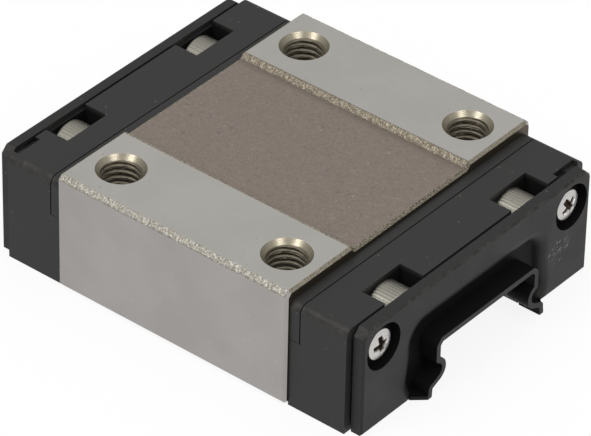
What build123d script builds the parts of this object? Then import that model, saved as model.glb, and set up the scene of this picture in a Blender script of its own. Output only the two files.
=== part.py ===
"""Linear guide carriage of size 12: a ground steel block with moulded end caps, seals and two ball circuits.

X runs along the rail, Y across it and Z up, in millimetres. The origin lies under the middle of the
carriage, level with the lowest faces of its end caps. The front is at +X and the left side at +Y.
"""
from build123d import *
import os
from math import cos, hypot, pi, radians, sin, sqrt, tan

# Rail that the carriage runs on, which isn't part of it: a wide foot under a narrower head
rail_width = 12.0
rail_head_inset = 0.75
rail_foot_top = 0.73
rail_top = 4.27
rail_corner = 0.25

# Steel block
block_length = 20.8
block_side = 7.5
block_bottom = 0.1
block_top = 9.7
top_edge_chamfer = 0.4
bottom_edge_chamfer = 0.25
end_edge_chamfer = 0.2
recess_width = 13.0
recess_depth = 0.35
channel_wall_gap = 0.22
channel_foot_gap = 0.1
channel_ceiling_gap = 0.5

# Tapped mounting holes in the block's two lands
mount_spacing_x = 15.0
mount_spacing_y = 20.0
mount_hole_diameter = 3.0
mount_thread_depth = 3.5
mount_drill_diameter = 2.5
mount_drill_extra = 0.5
mount_countersink = 0.35
countersink_angle = 90
drill_tip_angle = 118

# Balls and their path, level with the groove in the side of the rail's head
ball_diameter = 1.984
ball_clearance = 0.02
groove_offset = 0.4
groove_rise = 1.32
turn_radius = 1.6
bore_clearance = 0.06
raceway_conformity = 0.53
halvings = 40

# Sheet strips that keep the balls in the block when it is off its rail
retainer_thickness = 0.3
retainer_rail_gap = 0.06
retainer_rim = 0.35

# Return plates, between the block and the end caps
return_plate_thickness = 0.95
return_plate_leg_rim = 1.0
seam_width = 0.1
seam_depth = 0.12
tab_drop = 3.8
tab_corner_radius = 0.8

# End caps
cap_side_inset = 0.35
cap_top_inset = 0.85
cap_thickness = 4.95
cap_edge_radius = 0.65
cap_rail_gap = 0.25
notch_length = 2.3
notch_width = 0.45
notch_depth = 0.4

# Half-round guides inside the turns
guide_flange = 0.2
guide_rim_inset = 0.05
guide_peg_diameter = 0.6
guide_peg_length = 0.5

# Socket-head screws that hold each cap on the block
cap_screw_row_offset = 1.0
screw_drop = 2.25
cap_screw_thread = 2.0
cap_screw_length = 6.0
cap_screw_head_diameter = 3.8
cap_screw_head_height = 2.0
cap_screw_socket = 1.5
cap_screw_socket_depth = 1.0
cap_screw_head_chamfer = 0.2
pocket_diameter = 4.15
tapped_hole_spare = 0.8

# End seals, each a plate and a lip in one moulding
seal_side_inset = 0.5
seal_bottom = 0.05
seal_thickness = 1.13
seal_corner_chamfer = 0.6
seal_edge_radius = 0.15
shadow_gap = 0.2
shadow_gap_inset = 0.45
lip_reach = 0.92
lip_wall = 0.42
lip_rail_gap = 0.04
lip_bead_gap = 0.03
lip_foot_spread = 0.06
lip_foot_web = 0.3
trench_depth = 0.6
trench_side_width = 1.9
trench_roof_width = 1.75
trench_foot_spread = 0.35
trench_foot_tuck = 0.6
trench_foot_height = 1.4
trench_knee_height = 3.9
trench_corner_radius = 1.9
trench_slope = 50
trench_roll_radius = 1.1

# Cross-recess screws that hold each seal on its cap
seal_screw_row_offset = 4.5
seal_screw_head_diameter = 2.4
seal_screw_head_height = 0.6
seal_screw_dome_radius = 0.25
seal_screw_recess_diameter = 3.6
seal_screw_recess_depth = 0.75
seal_screw_thread = 1.6
seal_screw_length = 3.6
cross_recess_width = 0.42
cross_recess_span = 1.5
cross_recess_depth = 0.35
cross_recess_taper = 15

# Clearances shared by what seats in a pocket or a hole
seat_clearance = 0.02
thread_clearance = 0.03
screw_hole_clearance = 0.15
screw_tip_chamfer = 0.2

# Places worked out from the sizes above
ball_radius = ball_diameter / 2
rail_head = rail_width / 2 - rail_head_inset
ball_height = rail_foot_top + groove_rise
load_row = rail_head + groove_offset
return_row = load_row + 2 * turn_radius
block_width = rail_width + 2 * block_side
block_end = block_length / 2
cap_width = block_width - 2 * cap_side_inset
cap_top = block_top - cap_top_inset
seal_width = cap_width - 2 * seal_side_inset
tab_bottom = cap_top - tab_drop
cap_screw_row = rail_width / 2 + cap_screw_row_offset
seal_screw_row = rail_width / 2 + seal_screw_row_offset
screw_height = cap_top - screw_drop
turn_start = block_end + return_plate_thickness
cap_end = block_end + cap_thickness
seal_end = cap_end + seal_thickness
turn_row = load_row + turn_radius
bore_radius = ball_radius + bore_clearance
retainer_inner = rail_head + retainer_rail_gap
retainer_outer = retainer_inner + retainer_thickness
retainer_far_edge = load_row + bore_radius + retainer_rim
retainer_bottom = rail_foot_top + channel_foot_gap + seat_clearance
retainer_top = ball_height + bore_radius + retainer_rim
retainer_middle = (retainer_bottom + retainer_top) / 2
channel_foot_wall = rail_width / 2 + channel_wall_gap
channel_foot_top = rail_foot_top + channel_foot_gap
channel_low_wall = retainer_outer + seat_clearance
channel_high_wall = rail_head + channel_wall_gap
channel_step = retainer_top + seat_clearance
channel_ceiling = rail_top + channel_ceiling_gap
return_plate_leg_width = 2 * (return_row + bore_radius + return_plate_leg_rim)
below_all = -block_top
guide_radius = turn_radius - guide_rim_inset
guide_half_height = bore_radius + guide_flange
pocket_depth = cap_screw_head_height + seat_clearance
drill_tip_height = mount_drill_diameter / 2 / tan(radians(drill_tip_angle / 2))
cap_screw_seat = cap_end - pocket_depth
cap_screw_tip = cap_screw_seat - cap_screw_length
seal_screw_seat = seal_end - seal_screw_recess_depth
web_inner = rail_width / 2 + lip_rail_gap + lip_foot_spread
trench_wall = rail_head + lip_rail_gap + lip_wall + trench_side_width
trench_foot = trench_wall + trench_foot_spread
trench_roof = rail_top + lip_rail_gap + lip_wall + trench_roof_width
web_outer = trench_foot - trench_foot_tuck
trench_tail = trench_foot - 2 * trench_foot_tuck
both_sides = (1, -1)

# Gothic raceway: two arcs a little wider than the ball, set off so that it meets them at 45 degrees
raceway_radius = raceway_conformity * ball_diameter
raceway_offset = (raceway_radius - ball_radius - ball_clearance) / sqrt(2)


def finish(builder, name):
    """Labels a finished piece and writes it to its own file."""
    builder.part.label = name
    export_step(builder.part, f"parts/{name}.step")


def across(x):
    """The plane across the rail at x, whose own axes are the part's Y and Z."""
    return Plane.YZ.offset(x)


def mirrored_spots(row, height):
    """The same spot on the left and the right of a plane across the rail."""
    return [(side * row, height) for side in both_sides]


def rail_opening(gap, bead_gap, foot_spread):
    """Opening that clears the rail by the gap, with a bead on each side for the rail's ball groove."""
    wall = rail_head + gap
    ceiling = rail_top + gap
    foot = rail_width / 2 + gap
    bead_radius = raceway_radius - bead_gap
    bead_rise = sqrt(bead_radius**2 - (load_row - wall) ** 2)
    bead_top = (wall, ball_height + bead_rise)
    bead_tip = (load_row - bead_radius, ball_height)
    bead_base = (wall, ball_height - bead_rise)
    foot_top = (foot, rail_foot_top + gap)
    with BuildSketch() as opening:
        with BuildLine():
            Polyline((0, below_all), (foot + foot_spread, below_all), (foot + foot_spread, seal_bottom))
            Polyline((foot + foot_spread, seal_bottom), foot_top, bead_base)
            ThreePointArc(bead_base, bead_tip, bead_top)
            Polyline(bead_top, (wall, ceiling - rail_corner), (wall - rail_corner, ceiling), (0, ceiling))
            Line((0, ceiling), (0, below_all))
        make_face()
        mirror(about=Plane.YZ)
    return opening.sketch


def path_point(travel):
    """X and Y of a ball that has gone this far round its loop from the middle of the raceway."""
    turn_length = pi * turn_radius
    travel %= 4 * turn_start + 2 * turn_length
    if travel < turn_start:
        return travel, load_row
    travel -= turn_start
    if travel < turn_length:
        angle = travel / turn_radius
        return turn_start + turn_radius * sin(angle), turn_row - turn_radius * cos(angle)
    travel -= turn_length
    if travel < 2 * turn_start:
        return turn_start - travel, return_row
    travel -= 2 * turn_start
    if travel < turn_length:
        angle = travel / turn_radius
        return -turn_start - turn_radius * sin(angle), turn_row + turn_radius * cos(angle)
    return travel - turn_length - turn_start, load_row


def next_ball(travel):
    """Travel of the ball that just clears the one at this travel, found by halving the interval."""
    pitch = ball_diameter + ball_clearance
    here = path_point(travel)
    near, far = travel + pitch / 2, travel + pitch * pi / 2
    for _ in range(halvings):
        middle = (near + far) / 2
        there = path_point(middle)
        if hypot(there[0] - here[0], there[1] - here[1]) < pitch:
            near = middle
        else:
            far = middle
    return far


def ball_places():
    """Balls laid round the loop from the middle of the return bore, until the last would meet the first."""
    loop = 4 * turn_start + 2 * pi * turn_radius
    travels = [loop / 2]
    while next_ball(travels[-1]) + ball_diameter + ball_clearance < travels[0] + loop:
        travels.append(next_ball(travels[-1]))
    return [path_point(travel) for travel in travels]


# Outlines drawn across the rail and shared by several pieces
with BuildSketch() as block_channel:
    for side in both_sides:
        with BuildLine():
            Polyline(
                (0, below_all),
                (side * channel_foot_wall, below_all),
                (side * channel_foot_wall, channel_foot_top),
                (side * channel_low_wall, channel_foot_top),
                (side * channel_low_wall, channel_step),
                (side * channel_high_wall, channel_step),
                (side * channel_high_wall, channel_ceiling),
                (0, channel_ceiling),
                close=True,
            )
        make_face()

with BuildSketch() as raceway:
    with Locations((-raceway_offset, -raceway_offset)):
        Circle(raceway_radius)
    with Locations((-raceway_offset, raceway_offset)):
        Circle(raceway_radius, mode=Mode.INTERSECT)

with BuildSketch() as cap_outline:
    with Locations((0, cap_top / 2)):
        Rectangle(cap_width, cap_top)
    fillet(cap_outline.vertices().group_by(Axis.Y)[-1], cap_edge_radius)

with BuildSketch() as return_plate_outline:
    with Locations((0, (tab_bottom + cap_top) / 2)):
        Rectangle(cap_width, cap_top - tab_bottom)
    fillet(return_plate_outline.vertices().group_by(Axis.Y)[-1], cap_edge_radius)
    fillet(return_plate_outline.vertices().group_by(Axis.Y)[0], tab_corner_radius)
    with Locations((0, (block_bottom + cap_top) / 2)):
        Rectangle(return_plate_leg_width, cap_top - block_bottom)

with BuildSketch() as return_plate_seat:
    add(return_plate_outline.sketch)
    offset(amount=seat_clearance, kind=Kind.INTERSECTION)

with BuildSketch() as seal_outline:
    with Locations((0, (seal_bottom + cap_top) / 2)):
        Rectangle(seal_width, cap_top - seal_bottom)
    chamfer(seal_outline.vertices().group_by(Axis.Y)[-1], seal_corner_chamfer)

cap_opening = rail_opening(cap_rail_gap, cap_rail_gap, 0)
lip_opening = rail_opening(lip_rail_gap, lip_bead_gap, lip_foot_spread)

# Steel block: a bar with broken edges, cut through for the rail, the raceways and the return bores
with BuildPart() as steel_block:
    with BuildSketch(across(-block_end)):
        with BuildLine():
            Polyline(
                (-block_width / 2 + bottom_edge_chamfer, block_bottom),
                (block_width / 2 - bottom_edge_chamfer, block_bottom),
                (block_width / 2, block_bottom + bottom_edge_chamfer),
                (block_width / 2, block_top - top_edge_chamfer),
                (block_width / 2 - top_edge_chamfer, block_top),
                (recess_width / 2, block_top),
                (recess_width / 2 - recess_depth, block_top - recess_depth),
                (-recess_width / 2 + recess_depth, block_top - recess_depth),
                (-recess_width / 2, block_top),
                (-block_width / 2 + top_edge_chamfer, block_top),
                (-block_width / 2, block_top - top_edge_chamfer),
                (-block_width / 2, block_bottom + bottom_edge_chamfer),
                close=True,
            )
        make_face()
    extrude(amount=block_length)
    chamfer(steel_block.faces().filter_by(Axis.X).edges(), end_edge_chamfer)
    with BuildSketch(across(-block_end)):
        add(block_channel.sketch)
        with Locations((load_row, ball_height)):
            add(raceway.sketch)
        with Locations((-load_row, ball_height)):
            add(raceway.sketch.mirror(Plane.YZ))
        with Locations(*mirrored_spots(return_row, ball_height)):
            Circle(bore_radius)
    extrude(amount=block_length, mode=Mode.SUBTRACT)
    with Locations(Plane.XY.offset(block_top)):
        with GridLocations(mount_spacing_x, mount_spacing_y, 2, 2):
            CounterSinkHole(
                mount_hole_diameter / 2,
                mount_hole_diameter / 2 + mount_countersink,
                mount_thread_depth,
                countersink_angle,
            )
            Hole(mount_drill_diameter / 2, mount_thread_depth + mount_drill_extra)
    with Locations(Plane.XY.offset(block_top - mount_thread_depth - mount_drill_extra)):
        with GridLocations(mount_spacing_x, mount_spacing_y, 2, 2):
            Cone(
                0,
                mount_drill_diameter / 2,
                drill_tip_height,
                align=(Align.CENTER, Align.CENTER, Align.MAX),
                mode=Mode.SUBTRACT,
            )
    with BuildSketch(across(block_end)):
        with Locations(*mirrored_spots(cap_screw_row, screw_height)):
            Circle(cap_screw_thread / 2 + thread_clearance)
    extrude(amount=-(block_end - cap_screw_tip + tapped_hole_spare), mode=Mode.SUBTRACT)
    with BuildSketch(across(-block_end)):
        with Locations(*mirrored_spots(cap_screw_row, screw_height)):
            Circle(cap_screw_thread / 2 + thread_clearance)
    extrude(amount=block_end - cap_screw_tip + tapped_hole_spare, mode=Mode.SUBTRACT)

# Retainer: two strips along the raceway, joined round the ball path by a thin C-shaped plate at each end
with BuildPart() as left_ball_retainer:
    with BuildSketch(across(-block_end)):
        with Locations((retainer_inner, retainer_bottom)):
            Rectangle(retainer_thickness, retainer_top - retainer_bottom, align=Align.MIN)
        with Locations((load_row, ball_height)):
            Circle(ball_radius + ball_clearance, mode=Mode.SUBTRACT)
    extrude(amount=block_length)
    for end in (-block_end - retainer_thickness, block_end):
        with BuildSketch(across(end)):
            with Locations((retainer_inner, retainer_bottom)):
                Rectangle(
                    retainer_far_edge - retainer_inner,
                    retainer_top - retainer_bottom,
                    align=Align.MIN,
                )
            with Locations((load_row, ball_height)):
                Circle(bore_radius, mode=Mode.SUBTRACT)
        extrude(amount=retainer_thickness)

# Return plate: its tabs show beside the block, its legs carry the ball bores, and a fine seam runs round it
with BuildPart() as front_return_plate:
    with BuildSketch(across(block_end)):
        add(return_plate_outline.sketch)
    extrude(amount=return_plate_thickness - seam_width)
    with BuildSketch(across(block_end)):
        add(return_plate_outline.sketch)
        offset(amount=-seam_depth, kind=Kind.INTERSECTION)
    extrude(amount=return_plate_thickness)
    with BuildSketch(across(block_end)):
        add(block_channel.sketch)
        with Locations(*mirrored_spots(load_row, ball_height), *mirrored_spots(return_row, ball_height)):
            Circle(bore_radius)
        with Locations(*mirrored_spots(cap_screw_row, screw_height)):
            Circle(cap_screw_thread / 2 + screw_hole_clearance)
    extrude(amount=return_plate_thickness, mode=Mode.SUBTRACT)
    with BuildSketch(across(block_end)):
        with Locations(*mirrored_spots((retainer_inner + retainer_far_edge) / 2, retainer_middle)):
            Rectangle(
                retainer_far_edge - retainer_inner + 2 * seat_clearance,
                retainer_top - retainer_bottom + 2 * seat_clearance,
            )
    extrude(amount=retainer_thickness + seat_clearance, mode=Mode.SUBTRACT)
    with BuildSketch(across(turn_start)):
        with Locations(*mirrored_spots(turn_row, ball_height)):
            Circle(guide_peg_diameter / 2 + seat_clearance)
    extrude(amount=-(guide_peg_length + seat_clearance), mode=Mode.SUBTRACT)

# Turn guide: half a spool whose waist is the inner wall of the turn, with a peg in the return plate
with BuildPart() as turn_guide:
    Cylinder(guide_radius, 2 * guide_half_height)
    Torus(turn_radius, bore_radius, mode=Mode.SUBTRACT)
    split(bisect_by=Plane.YZ)
    with BuildSketch(Plane.YZ):
        Circle(guide_peg_diameter / 2)
    extrude(amount=-guide_peg_length)

# End cap: a thick moulding with half-round turns, guide seats, screw pockets and the rail's opening
with BuildPart() as front_end_cap:
    with BuildSketch(across(block_end)):
        add(cap_outline.sketch)
        add(cap_opening, mode=Mode.SUBTRACT)
    extrude(amount=cap_thickness)
    with BuildSketch(across(block_end)):
        add(return_plate_seat.sketch)
    extrude(amount=return_plate_thickness, mode=Mode.SUBTRACT)
    with Locations(*[(turn_start, side * turn_row, ball_height) for side in both_sides]):
        Torus(turn_radius, bore_radius, mode=Mode.SUBTRACT)
        Cylinder(
            guide_radius + seat_clearance,
            2 * (guide_half_height + seat_clearance),
            mode=Mode.SUBTRACT,
        )
    with BuildSketch(across(cap_end)):
        with Locations(*mirrored_spots(cap_screw_row, screw_height)):
            SlotCenterPoint((0, screw_drop / 2), (0, screw_drop), pocket_diameter)
    extrude(amount=-pocket_depth, mode=Mode.SUBTRACT)
    with BuildSketch(across(block_end)):
        with Locations(*mirrored_spots(cap_screw_row, screw_height)):
            Circle(cap_screw_thread / 2 + screw_hole_clearance)
    extrude(amount=cap_thickness, mode=Mode.SUBTRACT)
    with BuildSketch(across(cap_end)):
        with Locations(*mirrored_spots(seal_screw_row, screw_height)):
            Circle(seal_screw_thread / 2 + thread_clearance)
    extrude(amount=-seal_screw_length, mode=Mode.SUBTRACT)
    with Locations((cap_end, cap_width / 2 - cap_edge_radius - notch_length / 2, cap_top)):
        Box(2 * notch_width, notch_length, 2 * notch_depth, mode=Mode.SUBTRACT)

# Socket-head screw, modelled with its seat on the plane X = 0 and its head towards +X
with BuildPart() as cap_screw:
    with BuildSketch(Plane.YZ):
        Circle(cap_screw_head_diameter / 2)
    extrude(amount=cap_screw_head_height)
    chamfer(cap_screw.faces().sort_by(Axis.X)[-1].edges(), cap_screw_head_chamfer)
    with BuildSketch(across(cap_screw_head_height)):
        RegularPolygon(cap_screw_socket / 2, 6, major_radius=False)
    extrude(amount=-cap_screw_socket_depth, mode=Mode.SUBTRACT)
    with BuildSketch(Plane.YZ):
        Circle(cap_screw_thread / 2)
    extrude(amount=-cap_screw_length)
    chamfer(cap_screw.faces().sort_by(Axis.X)[0].edges(), screw_tip_chamfer)

# Cross-recess screw, modelled the same way
with BuildPart() as seal_screw:
    with BuildSketch(Plane.YZ):
        Circle(seal_screw_head_diameter / 2)
    extrude(amount=seal_screw_head_height)
    fillet(seal_screw.faces().sort_by(Axis.X)[-1].edges(), seal_screw_dome_radius)
    with BuildSketch(across(seal_screw_head_height)):
        Rectangle(cross_recess_span, cross_recess_width)
        Rectangle(cross_recess_width, cross_recess_span)
    extrude(amount=-cross_recess_depth, taper=cross_recess_taper, mode=Mode.SUBTRACT)
    with BuildSketch(Plane.YZ):
        Circle(seal_screw_thread / 2)
    extrude(amount=-seal_screw_length)
    chamfer(seal_screw.faces().sort_by(Axis.X)[0].edges(), screw_tip_chamfer)

# End seal: a plate held off the cap round its rim, and a thin lip standing out along the rail's outline
with BuildPart() as front_end_seal:
    with BuildSketch(across(cap_end)):
        add(seal_outline.sketch)
        offset(amount=-shadow_gap_inset, kind=Kind.INTERSECTION)
    extrude(amount=seal_thickness)
    with BuildSketch(across(cap_end + shadow_gap)):
        add(seal_outline.sketch)
    extrude(amount=seal_thickness - shadow_gap)
    chamfer(front_end_seal.faces().sort_by(Axis.X)[-1].edges(), seal_edge_radius)
    with BuildSketch(across(seal_end)):
        with BuildLine():
            FilletPolyline(
                (-trench_tail, 2 * seal_bottom - trench_foot_height),
                (-trench_foot, trench_foot_height),
                (-trench_wall, trench_knee_height),
                (-trench_wall, trench_roof),
                (trench_wall, trench_roof),
                (trench_wall, trench_knee_height),
                (trench_foot, trench_foot_height),
                (trench_tail, 2 * seal_bottom - trench_foot_height),
                radius=trench_corner_radius,
            )
            Line(
                (trench_tail, 2 * seal_bottom - trench_foot_height),
                (-trench_tail, 2 * seal_bottom - trench_foot_height),
            )
        make_face()
    extrude(amount=-trench_depth, taper=trench_slope, mode=Mode.SUBTRACT)
    # The two lowest of these edges belong to the plate's own foot, and stay sharp
    fillet(front_end_seal.edges(Select.LAST).group_by(Axis.X)[-1].sort_by(Axis.Z)[2:], trench_roll_radius)
    with BuildSketch(across(seal_end - trench_depth)):
        add(lip_opening)
        offset(amount=lip_wall, kind=Kind.ARC)
        with Locations((0, seal_bottom)):
            Rectangle(seal_width, cap_top, align=(Align.CENTER, Align.MIN), mode=Mode.INTERSECT)
    extrude(amount=trench_depth + lip_reach)
    with BuildSketch(Plane.XY.offset(seal_bottom)):
        for side in both_sides:
            with BuildLine():
                Polyline(
                    (seal_end - trench_depth, side * web_inner),
                    (seal_end - trench_depth, side * web_outer),
                    (seal_end, side * web_outer),
                    (seal_end + lip_reach, side * (web_inner + lip_wall)),
                    (seal_end + lip_reach, side * web_inner),
                    close=True,
                )
            make_face()
    extrude(amount=lip_foot_web)
    with BuildSketch(across(cap_end)):
        add(lip_opening)
    extrude(amount=seal_thickness + lip_reach, mode=Mode.SUBTRACT)
    with BuildSketch(across(seal_end)):
        with Locations(*mirrored_spots(seal_screw_row, screw_height)):
            Circle(seal_screw_recess_diameter / 2)
    extrude(amount=-seal_screw_recess_depth, mode=Mode.SUBTRACT)
    with BuildSketch(across(cap_end)):
        with Locations(*mirrored_spots(seal_screw_row, screw_height)):
            Circle(seal_screw_thread / 2 + thread_clearance)
    extrude(amount=seal_thickness, mode=Mode.SUBTRACT)

with BuildPart() as front_cap_screws:
    with Locations(*[(cap_screw_seat, side * cap_screw_row, screw_height) for side in both_sides]):
        add(cap_screw.part)

with BuildPart() as front_seal_screws:
    with Locations(*[(seal_screw_seat, side * seal_screw_row, screw_height) for side in both_sides]):
        add(seal_screw.part)

with BuildPart() as front_left_turn_guide:
    with Locations((turn_start, turn_row, ball_height)):
        add(turn_guide.part)

with BuildPart() as front_right_turn_guide:
    with Locations((turn_start, -turn_row, ball_height)):
        add(turn_guide.part)

# The rear end is the front end turned half round, so its left and right change places
turned_pieces = {
    "rear_return_plate": front_return_plate,
    "rear_end_cap": front_end_cap,
    "rear_end_seal": front_end_seal,
    "rear_cap_screws": front_cap_screws,
    "rear_seal_screws": front_seal_screws,
    "rear_right_turn_guide": front_left_turn_guide,
    "rear_left_turn_guide": front_right_turn_guide,
    "right_ball_retainer": left_ball_retainer,
}

# Balls: those over the raceway carry the load, and the others are on their way round
load_places = [place for place in ball_places() if place[1] == load_row]
return_places = [place for place in ball_places() if place[1] != load_row]
ball_sets = {}
for name, places in (("load_balls", load_places), ("return_balls", return_places)):
    for hand, side in (("left", 1), ("right", -1)):
        with BuildPart() as balls:
            with Locations(*[(x, side * y, ball_height) for x, y in places]):
                Sphere(ball_radius)
        ball_sets[f"{hand}_{name}"] = balls

os.makedirs("parts", exist_ok=True)
finish(steel_block, "steel_block")
finish(left_ball_retainer, "left_ball_retainer")
finish(front_return_plate, "front_return_plate")
finish(front_end_cap, "front_end_cap")
finish(front_end_seal, "front_end_seal")
finish(front_cap_screws, "front_cap_screws")
finish(front_seal_screws, "front_seal_screws")
finish(front_left_turn_guide, "front_left_turn_guide")
finish(front_right_turn_guide, "front_right_turn_guide")
for name, front_piece in turned_pieces.items():
    with BuildPart() as turned:
        add(front_piece.part, rotation=(0, 0, 180))
    finish(turned, name)
for name, balls in ball_sets.items():
    finish(balls, name)
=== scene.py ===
# %% [markdown]
# # A linear guide carriage, dressed for its picture
# This script is a lesson in Blender's Python. The shapes of the carriage come ready made from a CAD
# program, already in place and in metres. Here they get their finishes, their finest forms such as
# screw threads and knurls, the light and the camera. It is read from top to bottom, one cell at a time.

from math import cos, pi, radians, sin

import bpy
import numpy as np
from mathutils import Matrix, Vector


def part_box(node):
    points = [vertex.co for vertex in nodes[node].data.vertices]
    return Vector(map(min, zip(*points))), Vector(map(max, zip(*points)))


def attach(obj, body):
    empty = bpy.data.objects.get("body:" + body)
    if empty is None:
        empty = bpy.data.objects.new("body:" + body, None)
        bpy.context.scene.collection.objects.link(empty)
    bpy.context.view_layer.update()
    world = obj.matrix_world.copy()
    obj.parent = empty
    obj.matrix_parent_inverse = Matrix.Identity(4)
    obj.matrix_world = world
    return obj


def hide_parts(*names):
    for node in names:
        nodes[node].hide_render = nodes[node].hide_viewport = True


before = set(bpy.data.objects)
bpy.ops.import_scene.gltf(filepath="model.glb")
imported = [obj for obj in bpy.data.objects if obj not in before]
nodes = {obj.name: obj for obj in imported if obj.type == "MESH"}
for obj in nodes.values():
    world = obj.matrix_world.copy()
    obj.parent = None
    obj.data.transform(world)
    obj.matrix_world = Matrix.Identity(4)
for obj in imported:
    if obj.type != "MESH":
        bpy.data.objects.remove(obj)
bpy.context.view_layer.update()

# %% [markdown]
# ## Places taken from the frame
# Blender works in metres, and this part is 35 millimetres long, so `mm` keeps the sizes readable.
# Outer faces are measured on the CAD nodes, so they stay right if the frame grows. The places of holes
# and screws can't be read from a box, so they are repeated here once and used by name.

# %% Measure the frame
mm = 0.001
block_end, block_half_width, block_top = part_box("steel_block")[1]
cap_end, _, cap_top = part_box("front_end_cap")[1]
lip_end, _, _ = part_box("front_end_seal")[1]

recess_half_width = 6.5 * mm
recess_floor = block_top - 0.35 * mm
seal_face = lip_end - 0.92 * mm
screw_height = 6.6 * mm
cap_screw_y = 7.0 * mm
seal_screw_y = 10.5 * mm
hole_x, hole_y = 7.5 * mm, 10.0 * mm
hole_radius = 1.5 * mm
countersink = 0.35 * mm
print("block reaches", block_end / mm, block_half_width / mm, block_top / mm, "mm")

# %% [markdown]
# ## The camera
# The picture was taken from some 35 centimetres away with a long lens, from above the near front
# corner. The camera's three axes were worked out from edges whose real directions are known. A camera
# looks along its own -Z, so its matrix holds the right, up and back directions as columns.

# %% Place the camera
camera_place = np.array([178.947, -222.126, 214.992]) * mm
camera_right = (0.77025316, 0.63747734, 0.01824019)
camera_up = (-0.39110491, 0.44958742, 0.80306171)
camera_back = (0.50373308, -0.62569465, 0.59561665)

camera_data = bpy.data.cameras.new("camera")
camera_data.sensor_width = 36.0
camera_data.lens = 305.42
camera_data.clip_start = 0.01
camera_data.clip_end = 10.0
camera = bpy.data.objects.new("camera", camera_data)
axes = Matrix((camera_right, camera_up, camera_back)).transposed()
camera.matrix_world = Matrix.Translation(camera_place) @ axes.to_4x4()
bpy.context.scene.collection.objects.link(camera)
bpy.context.scene.camera = camera
print("camera stands", round(float(np.linalg.norm(camera_place)) / mm), "mm from the origin")

# %% [markdown]
# ## Helpers for materials
# A Blender material is a graph of nodes. Small helpers keep the graphs short to write. The main three
# add a node and fill its sockets, do one step of arithmetic, and make a soft step from 0 to 1. Such a
# step is a mask, which keeps a finish to one stretch of a piece.

# %% Helpers that build node graphs
def new_material(name):
    """Return a new material's node tree, its main shader and its Object coordinates."""
    material = bpy.data.materials.new(name)
    material.use_nodes = True
    tree = material.node_tree
    shader = tree.nodes["Principled BSDF"]
    place = tree.nodes.new("ShaderNodeTexCoord").outputs["Object"]
    return material, tree, shader, place


def add(tree, kind, inputs=(), **settings):
    """Add a node of this kind, set its settings, and fill its inputs with values or links."""
    node = tree.nodes.new("ShaderNode" + kind)
    for name, value in settings.items():
        setattr(node, name, value)
    for key, value in dict(inputs).items():
        if isinstance(value, bpy.types.NodeSocket):
            tree.links.new(value, node.inputs[key])
        else:
            node.inputs[key].default_value = value
    return node


def math(tree, operation, first, second=0.0, third=0.0):
    """One arithmetic step on values or links."""
    return add(tree, "Math", {0: first, 1: second, 2: third}, operation=operation).outputs[0]


def both(tree, *masks):
    """1 only where every one of these masks is 1."""
    product = masks[0]
    for mask in masks[1:]:
        product = math(tree, "MULTIPLY", product, mask)
    return product


def either(tree, *masks):
    """1 where at least one of these masks is 1."""
    largest = masks[0]
    for mask in masks[1:]:
        largest = math(tree, "MAXIMUM", largest, mask)
    return largest


def ramp(tree, value, start, end, low=0.0, high=1.0):
    """A soft step: low where value is below start, high where it is past end."""
    node = add(tree, "MapRange", {"Value": value, "From Min": start, "From Max": end,
                                  "To Min": low, "To Max": high}, interpolation_type="SMOOTHSTEP")
    return node.outputs["Result"]


print("helpers for masks ready")

# %% [markdown]
# The patterns are the next helpers. All of them read Object coordinates, so they stick to the piece
# from every side. A noise makes clouds and streaks, and a cell pattern makes grains.

# %% Helpers for patterns and colours
def noise(tree, place, size, detail=3.0, roughness=0.5, stretch=(1, 1, 1)):
    """Cloudy noise whose blotches are about this size in metres, longer along a stretched axis."""
    scale = tuple(1 / (size * factor) for factor in stretch)
    mapping = add(tree, "Mapping", {"Vector": place, "Scale": scale})
    node = add(tree, "TexNoise", {"Vector": mapping.outputs["Vector"], "Scale": 1.0, "Detail": detail,
                                  "Roughness": roughness})
    return node.outputs["Fac"]


def specks(tree, place, size, chance):
    """Small grains of this size, 1 inside them, in about this share of the cells."""
    mapping = add(tree, "Mapping", {"Vector": place, "Scale": (1 / size, 1 / size, 1 / size)})
    cells = add(tree, "TexVoronoi", {"Vector": mapping.outputs["Vector"], "Scale": 1.0})
    lottery = add(tree, "SeparateColor", {"Color": cells.outputs["Color"]}).outputs[0]
    chosen = math(tree, "LESS_THAN", lottery, chance)
    near = ramp(tree, cells.outputs["Distance"], 0.4, 0.16)
    return math(tree, "MULTIPLY", chosen, near)


def blend_colour(tree, factor, below, above):
    """Mix two colours, the first where factor is 0 and the second where it is 1."""
    node = add(tree, "Mix", {0: factor, 6: below, 7: above}, data_type="RGBA", clamp_factor=True)
    return node.outputs[2]


def bump(tree, height, distance, strength=1.0, under=None):
    """A relief of this many metres, laid over another one where under is given."""
    inputs = {"Height": height, "Distance": distance, "Strength": strength}
    if under is not None:
        inputs["Normal"] = under
    return add(tree, "Bump", inputs).outputs["Normal"]


def grey(level, warmth=0.0):
    """A grey of this linear level, a little redder and less blue as warmth rises."""
    return (level * (1 + warmth), level, level * (1 - warmth), 1.0)


print("helpers for patterns ready")

# %% [markdown]
# ## The ground steel block
# One piece of steel carries several finishes. Its two lands and its sides are ground bright and grey,
# the shallow recess between the lands keeps the brown-grey skin of the heat treatment, and every
# broken edge sparkles where the grinding wheel tore it. Painting them by hand would need a UV map. It
# is simpler to ask where a point lies: its height tells land from recess, and its distance from an
# edge tells ground face from broken edge. The first masks mark the recess and the faces on top.

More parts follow.
